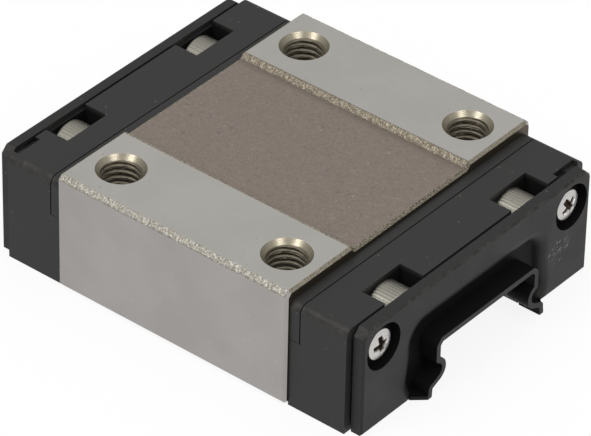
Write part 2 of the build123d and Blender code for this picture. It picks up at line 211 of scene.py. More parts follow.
# %% Ground steel: where each finish lies
steel, tree, shader, place = new_material("ground_steel")
x, y, z = add(tree, "SeparateXYZ", {"Vector": place}).outputs
from_middle = math(tree, "ABSOLUTE", x)
from_rail = math(tree, "ABSOLUTE", y)
facing = add(tree, "SeparateXYZ", {"Vector": add(tree, "NewGeometry").outputs["True Normal"]}).outputs
level = math(tree, "ABSOLUTE", facing[2])
end_on = math(tree, "ABSOLUTE", facing[0])
ragged = noise(tree, place, 0.3 * mm, 5, 0.7)
on_top = ramp(tree, level, 0.4, 0.6)
under_lands = ramp(tree, z, recess_floor + 0.12 * mm, recess_floor + 0.08 * mm)
over_sides = ramp(tree, z, recess_floor - 0.2 * mm, recess_floor - 0.1 * mm)
inside = ramp(tree, from_rail, recess_half_width + 0.02 * mm, recess_half_width)
in_recess = both(tree, inside, under_lands, over_sides)
print("masks for the recess and the lands made")

# %% [markdown]
# Next come the narrow lines where a face ends: the block's long edges, its ends, and the step down to
# the recess. One noise makes the far side of every line ragged.

# %% Ground steel: the lines where a face ends
def edge_line(across_place, across_edge, top, width, raggedness=0.5):
    """1 within this width under a top face and beside its edge, with a ragged far side."""
    beside = math(tree, "SUBTRACT", across_place, across_edge)
    corner = math(tree, "ADD", beside, math(tree, "SUBTRACT", z, top))
    wander = math(tree, "MULTIPLY_ADD", ragged, width * raggedness, -width * raggedness / 2)
    return ramp(tree, math(tree, "ADD", corner, wander), -width, -0.8 * width)


side_edge = edge_line(from_rail, block_half_width, block_top, 0.42 * mm)
end_edge = edge_line(from_middle, block_end, block_top, 0.26 * mm, 0.3)
recess_end = both(tree, inside, under_lands, edge_line(from_middle, block_end, recess_floor, 0.3 * mm, 0.9))
wall_distance = math(tree, "ABSOLUTE", math(tree, "SUBTRACT", from_rail, recess_half_width - 0.1 * mm))
above_floor = ramp(tree, z, recess_floor - 0.1 * mm, recess_floor)
wall_edge = both(tree, ramp(tree, wall_distance, 0.26 * mm, 0.16 * mm), above_floor)
ragged_reach = math(tree, "MULTIPLY_ADD", ragged, 0.5 * mm, from_rail)
foot_distance = math(tree, "SUBTRACT", ragged_reach, recess_half_width)
foot_shade = both(tree, ramp(tree, foot_distance, -0.9 * mm, -0.1 * mm), in_recess,
                  ramp(tree, y, -mm, mm, 0.2, 1.0))


def from_hole_axis(tree, place):
    """Distance from the axis of the nearest mounting hole, because all four lie alike round the origin."""
    sideways = add(tree, "VectorMath", {0: place}, operation="ABSOLUTE").outputs[0]
    centre = add(tree, "VectorMath", {0: sideways, 1: (hole_x, hole_y, 0)}, operation="SUBTRACT").outputs[0]
    flat = add(tree, "VectorMath", {0: centre, 1: (1, 1, 0)}, operation="MULTIPLY").outputs[0]
    return add(tree, "VectorMath", {0: flat}, operation="LENGTH").outputs["Value"]


hole_distance = from_hole_axis(tree, place)
cone_radius = hole_radius + countersink
in_hole = both(tree, ramp(tree, hole_distance, cone_radius + 0.02 * mm, cone_radius - 0.01 * mm),
               ramp(tree, level, 0.98, 0.9))
print("masks for the edges and the holes made")

# %% [markdown]
# Each finish has a pair of colours that a noise blends. Blots, pale grains and a soft shade at the foot
# of the step lie over the skin of the recess.

# %% Ground steel: colour of each finish
land_colours = (0.45, 0.435, 0.41, 1), (0.42, 0.41, 0.375, 1)
# The sides take a darker copy of the land's grey: painted shade on faces that look sideways.
shaded_side_colours = (0.375, 0.357, 0.347, 1), (0.345, 0.328, 0.32, 1)
skin_colours = (0.243, 0.204, 0.175, 1), (0.288, 0.243, 0.211, 1)
torn_colours = (0.11, 0.09, 0.06, 1), (0.37, 0.335, 0.27, 1)
burr_colours = (0.19, 0.165, 0.12, 1), (0.37, 0.34, 0.27, 1)

clouds = ramp(tree, noise(tree, place, 4 * mm, detail=4), 0.3, 0.7)
land = blend_colour(tree, clouds, *land_colours)
side = blend_colour(tree, clouds, *shaded_side_colours)
grains = ramp(tree, noise(tree, place, 0.12 * mm, 4, 0.8), 0.4, 0.6)
torn = blend_colour(tree, grains, *torn_colours)
burr = blend_colour(tree, grains, *burr_colours)

skin = blend_colour(tree, ramp(tree, noise(tree, place, 0.22 * mm, 5, 0.75), 0.35, 0.65), *skin_colours)
blots = ramp(tree, noise(tree, place, 0.42 * mm, 4, 0.6), 0.62, 0.7)
pale = either(tree, ramp(tree, noise(tree, place, 0.2 * mm, 3, 0.6, stretch=(1, 3, 1)), 0.64, 0.74),
              ramp(tree, noise(tree, place, 0.2 * mm, 3, 0.6, stretch=(3, 1, 1)), 0.64, 0.74))
skin = blend_colour(tree, both(tree, blots, 0.55), skin, (0.14, 0.128, 0.115, 1))
skin = blend_colour(tree, both(tree, pale, 0.6), skin, (0.42, 0.385, 0.34, 1))
skin = blend_colour(tree, both(tree, foot_shade, 0.38), skin, (0.12, 0.10, 0.08, 1))
print("colours of the faces made")

# %% [markdown]
# The finishes are laid over one another like coats: each line puts one more colour on, where its mask
# is 1. Smudges, pale marks and pits come first, so that the recess and the edges cover them, and the
# brown ends of the block and its countersinks come last.

# %% Ground steel: lay the finishes over one another
fine_clouds = noise(tree, place, 0.8 * mm, detail=5, roughness=0.65)
smudges = both(tree, ramp(tree, fine_clouds, 0.6, 0.74), 0.3)
marks = both(tree, ramp(tree, noise(tree, place, 0.35 * mm, 4, 0.6, stretch=(2, 1, 1)), 0.66, 0.74), 0.35)
pits = both(tree, specks(tree, place, 0.24 * mm, 0.009), 0.45, on_top)
block_ends = ramp(tree, end_on, 0.85, 0.95)

# Faces that look up or down get the land's grey, the sideways faces its darker copy as painted shade.
colour = blend_colour(tree, on_top, side, land)
colour = blend_colour(tree, smudges, colour, (0.34, 0.32, 0.28, 1))
colour = blend_colour(tree, marks, colour, (0.55, 0.53, 0.49, 1))
colour = blend_colour(tree, pits, colour, (0.12, 0.11, 0.09, 1))
colour = blend_colour(tree, in_recess, colour, skin)
colour = blend_colour(tree, either(tree, wall_edge, side_edge, recess_end), colour, torn)
colour = blend_colour(tree, end_edge, colour, burr)
# The X-facing ends of the block: their brown oxide, made darker still with painted shade.
colour = blend_colour(tree, block_ends, colour, (0.085, 0.070, 0.050, 1))
colour = blend_colour(tree, in_hole, colour, (0.30, 0.27, 0.205, 1))
tree.links.new(colour, shader.inputs["Base Color"])
print("colour of the steel joined from", len(tree.nodes), "nodes")

# %% [markdown]
# Gloss and relief finish the steel. The skin and the torn edges are duller, the countersinks are
# glossier and show the rings that the turning tool left, and grinding leaves lines along the block.

# %% Ground steel: gloss and relief
rough_skin = either(tree, in_recess, wall_edge, side_edge)
shader.inputs["Metallic"].default_value = 0.85
gloss = math(tree, "MULTIPLY_ADD", in_hole, -0.14, ramp(tree, rough_skin, 0.0, 1.0, 0.42, 0.6))
tree.links.new(gloss, shader.inputs["Roughness"])

tool_feed = 0.09 * mm
grinding = noise(tree, place, 0.06 * mm, 3, 0.6, stretch=(14, 1, 1))
rings = math(tree, "SINE", math(tree, "MULTIPLY", hole_distance, 2 * pi / tool_feed))
relief = bump(tree, grinding, 0.004 * mm, 0.6)
relief = bump(tree, both(tree, rings, in_hole), 0.004 * mm, 0.7, under=relief)
relief = bump(tree, both(tree, grains, rough_skin), 0.02 * mm, 0.7, under=relief)
tree.links.new(relief, shader.inputs["Normal"])
nodes["steel_block"].material_slots[0].material = steel
print("steel block finished with", len(tree.nodes), "nodes")

# %% [markdown]
# ## Black mouldings
# The end caps and return plates are moulded in a black plastic with a fine satin grain, and the seals
# in a slightly softer black. A black surface shows its form almost only by its gloss, so the roughness
# is uneven, and faint rubs turn the black greyer where hands and a bench have touched it. The slanting
# edges turn a brown grey in patches, partly worn and partly a painted highlight. The screws' pockets, the
# trench round the seal's lip and the rings round the seal screws get painted shade, darker and duller.

# %% Black mouldings: where shade is painted
pocket_reach = 11.4 * mm
pocket_floor = 4.2 * mm
trench_reach = 8.6 * mm
trench_top = 7.5 * mm
seal_recess_radius = 1.9 * mm


def painted_shade_corners(tree, place):
    """Painted shade: 1 in the caps' screw pockets, round the seal screws and in the seals' trench, 0 on open
    faces.
    """
    x, y, z = add(tree, "SeparateXYZ", {"Vector": place}).outputs
    normal = add(tree, "NewGeometry").outputs["True Normal"]
    end_on = math(tree, "ABSOLUTE", add(tree, "SeparateXYZ", {"Vector": normal}).outputs[0])
    outwards, sideways = math(tree, "ABSOLUTE", x), math(tree, "ABSOLUTE", y)

    pocket = both(tree, ramp(tree, z, cap_top - 0.02 * mm, cap_top - 0.5 * mm),
                  ramp(tree, z, pocket_floor, pocket_floor + 0.1 * mm),
                  ramp(tree, sideways, pocket_reach + 0.1 * mm, pocket_reach),
                  ramp(tree, outwards, cap_end + 0.1 * mm, cap_end),
                  ramp(tree, outwards, block_end + 0.5 * mm, block_end + 0.6 * mm))

    on_seal = ramp(tree, outwards, cap_end + 0.15 * mm, cap_end + 0.2 * mm)
    flank = ramp(tree, end_on, 0.9, 0.5)
    sunk = ramp(tree, outwards, seal_face - 0.01 * mm, seal_face - 0.58 * mm)
    trench = both(tree, on_seal, either(tree, sunk, flank),
                  ramp(tree, sideways, trench_reach + 0.3 * mm, trench_reach),
                  ramp(tree, z, trench_top + 0.2 * mm, trench_top))

    run = math(tree, "SUBTRACT", sideways, seal_screw_y)
    rise = math(tree, "SUBTRACT", z, screw_height)
    squares = math(tree, "ADD", math(tree, "MULTIPLY", run, run), math(tree, "MULTIPLY", rise, rise))
    near_screw = ramp(tree, math(tree, "SQRT", squares), seal_recess_radius + 0.1 * mm, seal_recess_radius)
    below_face = ramp(tree, outwards, seal_face - 0.06 * mm, seal_face - 0.18 * mm)
    ring = both(tree, on_seal, near_screw, either(tree, flank, below_face))
    return either(tree, pocket, trench, ring)


print("hidden corners lie below", round(seal_face / mm, 2), "mm on the seal")

# %% [markdown]
# Wear follows simple rules too. The slanting edges are found by their normal, which points neither
# level nor straight up, only upwards at a slant. Their lighter brown grey is partly wear and partly a
# painted highlight. The scuffs on the front seal are the crests of a noise that is stretched into short
# parallel lines, kept to a patch of a few millimetres.

# %% Black mouldings: wear and painted highlight
scuff_middle = (seal_face, 9.2 * mm, 3.7 * mm)
scuff_reach = 1.5 * mm
scuff_angle = radians(-28)
# Lighter brown grey for upward slanting edges: partly wear, partly painted highlight.
wear_and_highlight_colour = (0.062, 0.057, 0.047, 1)


def scuffs(tree, place):
    """Thin scratches on the front seal: 1 in a few long, thin grains of a small patch."""
    offset = add(tree, "VectorMath", {0: place, 1: scuff_middle}, operation="SUBTRACT").outputs[0]
    distance = add(tree, "VectorMath", {0: offset}, operation="LENGTH").outputs["Value"]
    turned = add(tree, "Mapping", {"Vector": place, "Rotation": (scuff_angle, 0, 0)}).outputs["Vector"]
    lines = ramp(tree, noise(tree, turned, 0.075 * mm, 2, 0.5, stretch=(8, 9, 1)), 0.58, 0.66)
    faded = ramp(tree, noise(tree, place, 0.4 * mm, 2), 0.42, 0.62)
    return both(tree, lines, ramp(tree, distance, scuff_reach, 0.6 * scuff_reach), faded)


def worn_and_lit_edges(tree, place):
    """1 in patches along upward slanting edges, found by a normal that is neither level nor upright: wear
    and a painted highlight.
    """
    normal = add(tree, "NewGeometry").outputs["True Normal"]
    upward = add(tree, "SeparateXYZ", {"Vector": normal}).outputs[2]
    slanting = both(tree, ramp(tree, upward, 0.1, 0.3), ramp(tree, upward, 0.98, 0.88))
    patches = ramp(tree, noise(tree, place, 0.5 * mm, 4, 0.6), 0.35, 0.7)
    return both(tree, slanting, patches)


print("scuffs lie within", scuff_reach / mm, "mm of one place on the front seal")

# %% [markdown]
# Now one function puts the black, its wear and its gloss together, once for each of the two blacks.

# %% Black plastic and rubber
def black_moulding(name, base, roughness, rub_level):
    """A satin black with a fine grain, cloudy gloss, rubs, specks, worn edges with a painted highlight,
    scuffs and painted shade in corners.
    """
    material, tree, shader, place = new_material(name)
    clouds = noise(tree, place, 3 * mm, 4, 0.6)
    rubs = ramp(tree, noise(tree, place, 0.5 * mm, 6, 0.7, stretch=(1, 3, 1)), 0.62, 0.8)
    dust = specks(tree, place, 0.2 * mm, 0.006)
    hidden = painted_shade_corners(tree, place)
    colour = blend_colour(tree, clouds, grey(base * 0.85, 0.02), grey(base * 1.15, 0.02))
    colour = blend_colour(tree, both(tree, rubs, 0.35), colour, grey(rub_level, 0.03))
    colour = blend_colour(tree, both(tree, dust, 0.5), colour, grey(0.2, 0.06))
    # Upward slanting edges turn lighter: partly wear, partly painted highlight.
    colour = blend_colour(tree, both(tree, worn_and_lit_edges(tree, place), 0.5), colour, wear_and_highlight_colour)
    # Painted shade: the screws' pockets, the seals' trench and the rings round the seal screws turn darker
    # here, and duller below through less specular.
    colour = blend_colour(tree, hidden, colour, grey(base * 0.35))
    colour = blend_colour(tree, both(tree, scuffs(tree, place), 0.9), colour, grey(0.3))
    tree.links.new(colour, shader.inputs["Base Color"])
    tree.links.new(ramp(tree, hidden, 0.0, 1.0, 0.2, 0.05), shader.inputs["Specular IOR Level"])
    gloss = ramp(tree, clouds, 0.3, 0.7, roughness - 0.05, roughness + 0.06)
    tree.links.new(gloss, shader.inputs["Roughness"])
    relief = bump(tree, noise(tree, place, 0.09 * mm, 3, 0.6), 0.006 * mm, 0.5)
    tree.links.new(relief, shader.inputs["Normal"])
    return material


plastic = black_moulding("black_plastic", 0.023, 0.42, 0.07)
rubber = black_moulding("black_rubber", 0.018, 0.46, 0.07)
for name, node in nodes.items():
    if name.endswith(("end_cap", "return_plate", "turn_guide")):
        node.material_slots[0].material = plastic
    elif name.endswith("end_seal"):
        node.material_slots[0].material = rubber
print("black mouldings:", plastic.name, rubber.name)

# %% [markdown]
# ## Bright metals
# Screws, balls and the sprung strips are metal all through, so the shader is fully metallic and its
# colour is the colour of the reflection. The screws are plated a little yellow, the balls are polished.

# %% Screws, balls and spring strips
def bright_metal(name, base, roughness, streak_size, stretch=(1, 1, 1)):
    """A metal with faint streaks along one axis and uneven gloss."""
    material, tree, shader, place = new_material(name)
    streaks = noise(tree, place, streak_size, 3, 0.6, stretch=stretch)
    dark, light = (tuple(share * part for part in base) + (1.0,) for share in (0.8, 1.1))
    colour = blend_colour(tree, streaks, dark, light)
    tree.links.new(colour, shader.inputs["Base Color"])
    shader.inputs["Metallic"].default_value = 1.0
    gloss = ramp(tree, streaks, 0.3, 0.7, roughness - 0.06, roughness + 0.08)
    tree.links.new(gloss, shader.inputs["Roughness"])
    tree.links.new(bump(tree, streaks, 0.003 * mm, 0.5), shader.inputs["Normal"])
    return material


plated = bright_metal("plated_screw_steel", (0.29, 0.278, 0.238), 0.4, 0.15 * mm)
spring = bright_metal("spring_steel", (0.55, 0.55, 0.54), 0.3, 0.05 * mm, (20, 1, 1))
polished = bright_metal("ball_steel", (0.78, 0.78, 0.78), 0.1, 0.6 * mm)
for name, node in nodes.items():
    if name.endswith("ball_retainer"):
        node.material_slots[0].material = spring
    elif name.endswith("_balls"):
        node.material_slots[0].material = polished
    elif name.endswith("_screws"):
        node.material_slots[0].material = plated
print("bright metals:", plated.name, spring.name, polished.name)

# %% [markdown]
# ## Closed skins from arrays
# Every new piece below is a skin over a grid of points: rows run along the piece and columns run round
# it. The last column joins the first. The two end rows are either closed with a fan of triangles, or
# the last row joins the first, as on a ring. Faces are worked out for the whole grid at once.

# %% Turn a grid of points into a closed mesh
def grid_quads(rows, columns, ring):
    """Quads between each row and the next, and between the last and the first on a ring."""
    row = np.arange(rows if ring else rows - 1)[:, None]
    column = np.arange(columns)[None, :]
    below, above = row * columns, ((row + 1) % rows) * columns
    after = (column + 1) % columns
    quads = np.stack([below + column, below + after, above + after, above + column], axis=-1)
    return quads.reshape(-1, 4)


def end_fans(rows, columns):
    """Triangles from each end row to its middle, which comes after the grid's points."""
    column = np.arange(columns)
    after = (column + 1) % columns
    last_row = (rows - 1) * columns
    first = np.stack([np.full(columns, rows * columns), after, column], axis=-1)
    last = np.stack([np.full(columns, rows * columns + 1), last_row + column, last_row + after], axis=-1)
    return np.concatenate([first, last])


def skin(points, ring=False):
    """Vertices and faces of one closed skin that faces outwards; its volume's sign tells if it must turn."""
    rows, columns, _ = points.shape
    quads = grid_quads(rows, columns, ring)
    triangles = np.empty((0, 3), dtype=int)
    vertices = points.reshape(-1, 3)
    if not ring:
        middles = np.stack([points[0].mean(axis=0), points[-1].mean(axis=0)])
        vertices = np.concatenate([vertices, middles])
        triangles = end_fans(rows, columns)
    halves = np.concatenate([quads[:, [0, 1, 2]], quads[:, [0, 2, 3]], triangles])
    a, b, c = (vertices[halves[:, k]] - vertices.mean(axis=0) for k in range(3))
    if np.einsum("ij,ij->", a, np.cross(b, c)) < 0:
        quads, triangles = quads[:, ::-1], triangles[:, ::-1]
    return vertices, quads, triangles


def make_piece(name, skins, material, crease=35):
    """Join closed skins in one mesh object at the origin, which rides on the carriage."""
    vertices, faces, start = [], [], 0
    for points, ring in skins:
        more, quads, triangles = skin(points, ring)
        vertices.append(more)
        faces += (quads + start).tolist() + (triangles + start).tolist()
        start += len(more)
    mesh = bpy.data.meshes.new(name)
    mesh.from_pydata(np.concatenate(vertices).tolist(), [], faces)
    mesh.validate()
    mesh.shade_smooth()
    mesh.set_sharp_from_angle(angle=radians(crease))
    mesh.materials.append(material)
    piece = bpy.data.objects.new(name, mesh)
    bpy.context.scene.collection.objects.link(piece)
    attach(piece, "root")
    print(name, "has", len(mesh.polygons), "faces")
    return piece


# %% [markdown]
# ## Torn edges
# Where the grinding wheel ran out, and where the recess begins, the block's edges are broken and
# glitter with tiny facets. Bump alone would keep their outline straight, so a thin ragged strip lies
# over each edge. Its thickness is smooth random noise: where the noise is low, the strip dips under
# the steel's own face and disappears, which leaves a ragged border. Each strip is a closed skin: its
# columns run over the edge and back inside the steel, and its rows run along the block.

# %% Smooth noise in arrays
def cloud(u, v, seed):
    """Noise from -1 to 1: random values on a unit lattice, blended between neighbours with an S-curve."""
    table = np.random.default_rng(seed).uniform(-1, 1, (64, 64))
    low_u, low_v = np.floor(u).astype(int), np.floor(v).astype(int)
    mix_u, mix_v = ((t * t * (3 - 2 * t)) for t in (u - low_u, v - low_v))
    corner = [[table[(low_u + i) % 64, (low_v + j) % 64] for j in (0, 1)] for i in (0, 1)]
    near = corner[0][0] * (1 - mix_v) + corner[0][1] * mix_v
    far = corner[1][0] * (1 - mix_v) + corner[1][1] * mix_v
    return near * (1 - mix_u) + far * mix_u


print("noise of one point:", float(cloud(np.array(0.5), np.array(0.5), 1)))

# %% [markdown]
# A strip's height is noise inside a ragged border. Outside the border the height is negative, so the
# strip lies hidden under the steel's face.

# %% Torn edge strips
grain_size = 0.13 * mm
torn_height = 0.03 * mm
torn_sink = 0.05 * mm
border_blend = 0.12
strip_rows, strip_columns = 420, 13
strip_end = block_end - 0.22 * mm


def torn_strip(path_y, path_z, normal_angle, side, seed):
    """Rows along X, columns over the edge and back inside; height = (half + noise) within the border."""
    share = np.linspace(0, 1, strip_columns)[None, :]
    stops = np.linspace(0, 1, len(path_y))
    across_y, across_z = np.interp(share, stops, path_y), np.interp(share, stops, path_z)
    angle = np.interp(share, [0, 1], normal_angle)
    along = np.linspace(-strip_end, strip_end, strip_rows)[:, None]
    reach = np.hypot(np.diff(path_y), np.diff(path_z)).sum()

    u, v = along / grain_size, share * reach / grain_size
    grit = 0.7 * cloud(u, v, seed) + 0.3 * cloud(2.1 * u, 2.1 * v, seed + 1)
    half_width = np.clip(0.36 + 0.1 * cloud(u / 6, v * 0 + 3.5, seed + 2), 0.05, 0.5)
    middle = 0.5 + 0.1 * cloud(u / 2, v * 0 + 7.5, seed + 3)
    border = np.clip((half_width - np.abs(share - middle)) / border_blend + 0.5, 0, 1)
    lift = torn_height * (0.5 + 0.7 * grit) * border - torn_height * (1 - border)

    top_y = across_y + lift * np.cos(angle)
    top_z = across_z + lift * np.sin(angle)
    under_y = (across_y - torn_sink * np.cos(angle)) + 0 * along
    under_z = (across_z - torn_sink * np.sin(angle)) + 0 * along
    loop_y = np.concatenate([top_y, under_y[:, ::-1]], axis=1)
    loop_z = np.concatenate([top_z, under_z[:, ::-1]], axis=1)
    return np.stack([along + 0 * loop_y, side * loop_y, loop_z], axis=-1)


def torn_metal(name, dark, light, spark):
    """Steel torn into facets: light grains with dark gaps, sparks and uneven gloss."""
    material, tree, shader, place = new_material(name)
    grit = noise(tree, place, 0.15 * mm, 4, 0.75)
    colour = blend_colour(tree, ramp(tree, grit, 0.38, 0.62), dark, light)
    sparks = specks(tree, place, 0.13 * mm, 0.1)
    colour = blend_colour(tree, both(tree, sparks, 0.5), colour, spark)
    tree.links.new(colour, shader.inputs["Base Color"])
    shader.inputs["Metallic"].default_value = 0.8
    tree.links.new(ramp(tree, grit, 0.3, 0.7, 0.62, 0.4), shader.inputs["Roughness"])
    tree.links.new(bump(tree, grit, 0.02 * mm, 0.8), shader.inputs["Normal"])
    return material


print("torn strips are up to", torn_height / mm, "mm high")

# %% [markdown]
# Two strips lie over the block's long upper edges and two over the steps down to the recess. A path is
# given by a few corners on the side of positive Y, and `side` mirrors it. The lean is the angle in
# which the strip rises at either end of the path.

# %% Torn edges of the block and of the recess
outer_y = np.array([-0.40, -0.36, 0.0, 0.0]) * mm + block_half_width
outer_z = np.array([0.0, 0.0, -0.36, -0.44]) * mm + block_top
wall_y = np.array([0.02, 0.0, -0.25, -0.33, -0.4]) * mm + recess_half_width
wall_z = np.array([0.0, 0.0, -0.26, -0.35, -0.35]) * mm + block_top
outer_lean = (pi / 2, 0)
wall_lean = (0.7 * pi, 0.6 * pi)

outer_strips, wall_strips = [], []
for side in (-1, 1):
    outer_strips.append((torn_strip(outer_y, outer_z, outer_lean, side, 15 - 5 * side), False))
    wall_strips.append((torn_strip(wall_y, wall_z, wall_lean, side, 25 - 5 * side), False))
outer_torn = torn_metal("torn_outer_steel", dark=(0.23, 0.21, 0.175, 1), light=(0.40, 0.38, 0.335, 1),
                        spark=(0.47, 0.45, 0.40, 1))
wall_torn = torn_metal("torn_wall_steel", dark=(0.15, 0.125, 0.09, 1), light=(0.29, 0.255, 0.20, 1),
                       spark=(0.45, 0.41, 0.33, 1))
make_piece("torn_outer_edges", outer_strips, outer_torn, crease=60)
make_piece("torn_recess_edges", wall_strips, wall_torn, crease=60)

# %% [markdown]
# ## Threads in the mounting holes
# The CAD holes are plain. Here each gets its M3 thread: a sleeve whose inner radius follows a thread
# form that climbs by one pitch per turn. The 90 degree countersink cuts the top turns back, so the
# radius is the larger of the two at each point. The sleeve's outer wall hides in the hole's wall. Each
# hole's thread starts at another part of a turn, as on a real block.

# %% Thread sleeves
pitch = 0.5 * mm
thread_height = 0.14 * mm
thread_length = 3.5 * mm
wall_gap = 0.004 * mm
tear_height = 0.03 * mm
ripple_height = 0.022 * mm
thread_rows, thread_columns = 110, 72
hole_starts = {(-1, -1): 0.0, (-1, 1): 0.25, (1, -1): 0.05, (1, 1): 0.6}


def thread_wave(turns):
    """A thread's form from 0 in the root to 1 on the crest, for a place counted in turns."""
    saw = np.abs(2 * (turns % 1.0) - 1)
    return np.clip((saw - 0.12) / 0.70, 0, 1)


def thread_sleeve(middle_x, middle_y, start, seed):
    """Rings down the threaded inside and back up a plain outside; radius = larger of thread and cone."""
    angle = np.linspace(0, 2 * pi, thread_columns, endpoint=False)[None, :]
    depth = np.linspace(countersink, thread_length, thread_rows)[:, None]
    turns = start - depth / pitch - angle / (2 * pi)
    wall = hole_radius - wall_gap

    tear = tear_height * cloud(angle * 16 / pi, depth / (0.11 * mm), seed)
    ripple = ripple_height * np.cos(6 * pi * turns)
    thread = wall - (thread_height - tear_height) * thread_wave(turns) - tear_height + tear + ripple
    cone = hole_radius + countersink - depth
    inner = np.maximum(np.minimum(thread, wall), np.minimum(cone, wall))

    outer_depth = np.array([[thread_length], [countersink]])
    outer = np.full((2, thread_columns), hole_radius - wall_gap / 2)
    radius = np.concatenate([inner, outer])
    height = block_top - np.concatenate([depth, outer_depth])
    x, y = middle_x + radius * np.cos(angle), middle_y + radius * np.sin(angle)
    return np.stack(np.broadcast_arrays(x, y, height), axis=-1)


print("thread has", round((thread_length - countersink) / pitch, 1), "turns")

# %% [markdown]
# The thread's steel gets painted shade in its roots, which are darker than its crests. The distance from
# the hole's axis tells root from crest.

# %% Finish of the threads
def tapped_metal():
    """Tapped steel with painted shade: dark olive brown in the thread's roots and paler on its crests."""
    material, tree, shader, place = new_material("tapped_thread")
    streaks = noise(tree, place, 0.16 * mm, 4, 0.7)
    height = ramp(tree, from_hole_axis(tree, place), hole_radius - 0.03 * mm, hole_radius - thread_height)
    root = blend_colour(tree, streaks, (0.11, 0.095, 0.07, 1), (0.17, 0.15, 0.115, 1))
    crest = blend_colour(tree, streaks, (0.12, 0.105, 0.08, 1), (0.22, 0.197, 0.155, 1))
    # Painted shade: the roots, next to the hole's wall, take the darker pair of colours.
    tree.links.new(blend_colour(tree, height, root, crest), shader.inputs["Base Color"])
    shader.inputs["Metallic"].default_value = 0.9
    tree.links.new(ramp(tree, streaks, 0.3, 0.7, 0.5, 0.64), shader.inputs["Roughness"])
    tree.links.new(bump(tree, streaks, 0.01 * mm, 0.6), shader.inputs["Normal"])
    return material


sleeves = []
for (sign_x, sign_y), start in hole_starts.items():
    seed = 40 + 2 * sign_x + sign_y
    sleeves.append((thread_sleeve(sign_x * hole_x, sign_y * hole_y, start, seed), True))
make_piece("mounting_threads", sleeves, tapped_metal())

# %% [markdown]
# ## Knurled cap screws
# In each pocket lies the head of a socket screw. A knurl is a ring of fine ridges along the axis, and
# the hexagon socket is a ring whose radius is that of a hexagon. Both are the same idea: the radius is
# a function of the angle round the axis and of the place along it.

# %% Heads of the cap screws
screw_low, screw_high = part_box("front_cap_screws")
head_top = screw_high[0]
shank_tip = screw_low[0]
head_height = 2.0 * mm
knurl_count = 46
knurl_depth = 0.022 * mm
socket_radius = 0.75 * mm
socket_rows = 2

# Each row of the head: depth under its top in mm, radius in mm, share of the knurl's depth.
head_profile = np.array([
    (1.00, 0.75, 0.0), (0.08, 0.75, 0.0), (0.00, 0.86, 0.0), (0.00, 1.58, 0.0), (0.03, 1.66, 0.0),
    (0.12, 1.84, 0.2), (0.22, 1.90, 0.8), (0.30, 1.90, 1.0), (1.70, 1.90, 1.0), (1.78, 1.90, 0.6),
    (1.92, 1.90, 0.0), (2.00, 1.85, 0.0), (2.00, 0.95, 0.0)])


def hexagon(angle, flat):
    """Radius of a hexagon with this distance from its middle to each side."""
    return flat / np.cos((angle % (pi / 3)) - pi / 6)


def rounds(along, radius, middle_y, middle_z):
    """Put rings of these radii at these places along X, round an axis at middle_y and middle_z."""
    angle = np.linspace(0, 2 * pi, radius.shape[1], endpoint=False)[None, :]
    y, z = middle_y + radius * np.cos(angle), middle_z + radius * np.sin(angle)
    return np.stack(np.broadcast_arrays(along, y, z), axis=-1)


def cap_screw_head(middle_y):
    """Rings from the socket's floor out over the face, down the knurl and in under the head."""
    depth, base, knurl = head_profile.T[:, :, None]
    angle = np.linspace(0, 2 * pi, knurl_count * 6, endpoint=False)[None, :]
    ridge = np.abs(2 * ((angle * knurl_count / (2 * pi)) % 1.0) - 1)
    radius = base * mm - knurl_depth * knurl * ridge
    in_socket = np.arange(len(depth))[:, None] < socket_rows
    radius = np.where(in_socket, hexagon(angle, socket_radius), radius)
    return rounds(head_top - depth * mm, radius, middle_y, screw_height)


print("screw head has", knurl_count, "ridges")

# %% [markdown]
# The shank's thread is the same wave as in the holes. The screws of the rear end are the front ones
# turned half round about Z, so they need no shapes of their own.

# %% Cap screws
def screw_shank(start, end, radius, thread_pitch, depth, middle_y, middle_z):
    """A threaded rod along X with a pointed last turn; radius = rod minus the thread's form."""
    rows_per_turn, columns, point = 8, 24, 0.25 * mm
    rows = int(abs(end - start) / thread_pitch * rows_per_turn)
    along = np.linspace(start, end, rows)[:, None]
    angle = np.linspace(0, 2 * pi, columns, endpoint=False)[None, :]
    turns = along / thread_pitch - angle / (2 * pi)
    taper = np.clip(np.abs(along - end) / point, 0, 1)
    rings = radius - depth * (1 - thread_wave(turns)) - point * (1 - taper)
    return rounds(along, rings, middle_y, middle_z)


def half_turn(points):
    """The same piece at the rear end, which is the front one turned half round about Z."""
    return points * np.array([-1, -1, 1])


shank_start = head_top - head_height + 0.05 * mm
front_screws = []
for side in (-1, 1):
    shank = screw_shank(shank_start, shank_tip, radius=1.0 * mm, thread_pitch=0.4 * mm, depth=0.2 * mm,
                        middle_y=side * cap_screw_y, middle_z=screw_height)
    front_screws += [(cap_screw_head(side * cap_screw_y), False), (shank, False)]
rear_screws = [(half_turn(points), ring) for points, ring in front_screws]
for end, skins in (("front", front_screws), ("rear", rear_screws)):
    piece = make_piece(f"{end}_cap_screws_fine", skins, plated)
    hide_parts(f"{end}_cap_screws")

# %% [markdown]
# ## Cross-recess screws
# Each seal is held by two small domed screws with a cross for the driver. Dome and cross are one height
# over a disc: the dome falls with the square of the radius, and the cross takes away a depth that is
# greatest in the middle and ends at the tips of four arms. Rings of points fit the disc's edge exactly.

# %% Heads of the seal screws
seal_screw_low, seal_screw_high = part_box("front_seal_screws")
seal_head_top = seal_screw_high[0]
seal_shank_tip = seal_screw_low[0]
seal_head_radius = 1.2 * mm
seal_head_height = 0.6 * mm
dome_height = 0.22 * mm
cross_half_span = 0.78 * mm
cross_half_width = 0.17 * mm
cross_depth = 0.4 * mm
cross_end_slope, cross_wall_slope = 0.32 * mm, 0.09 * mm
seal_screw_turns = ((-1, radians(8)), (1, radians(38)))


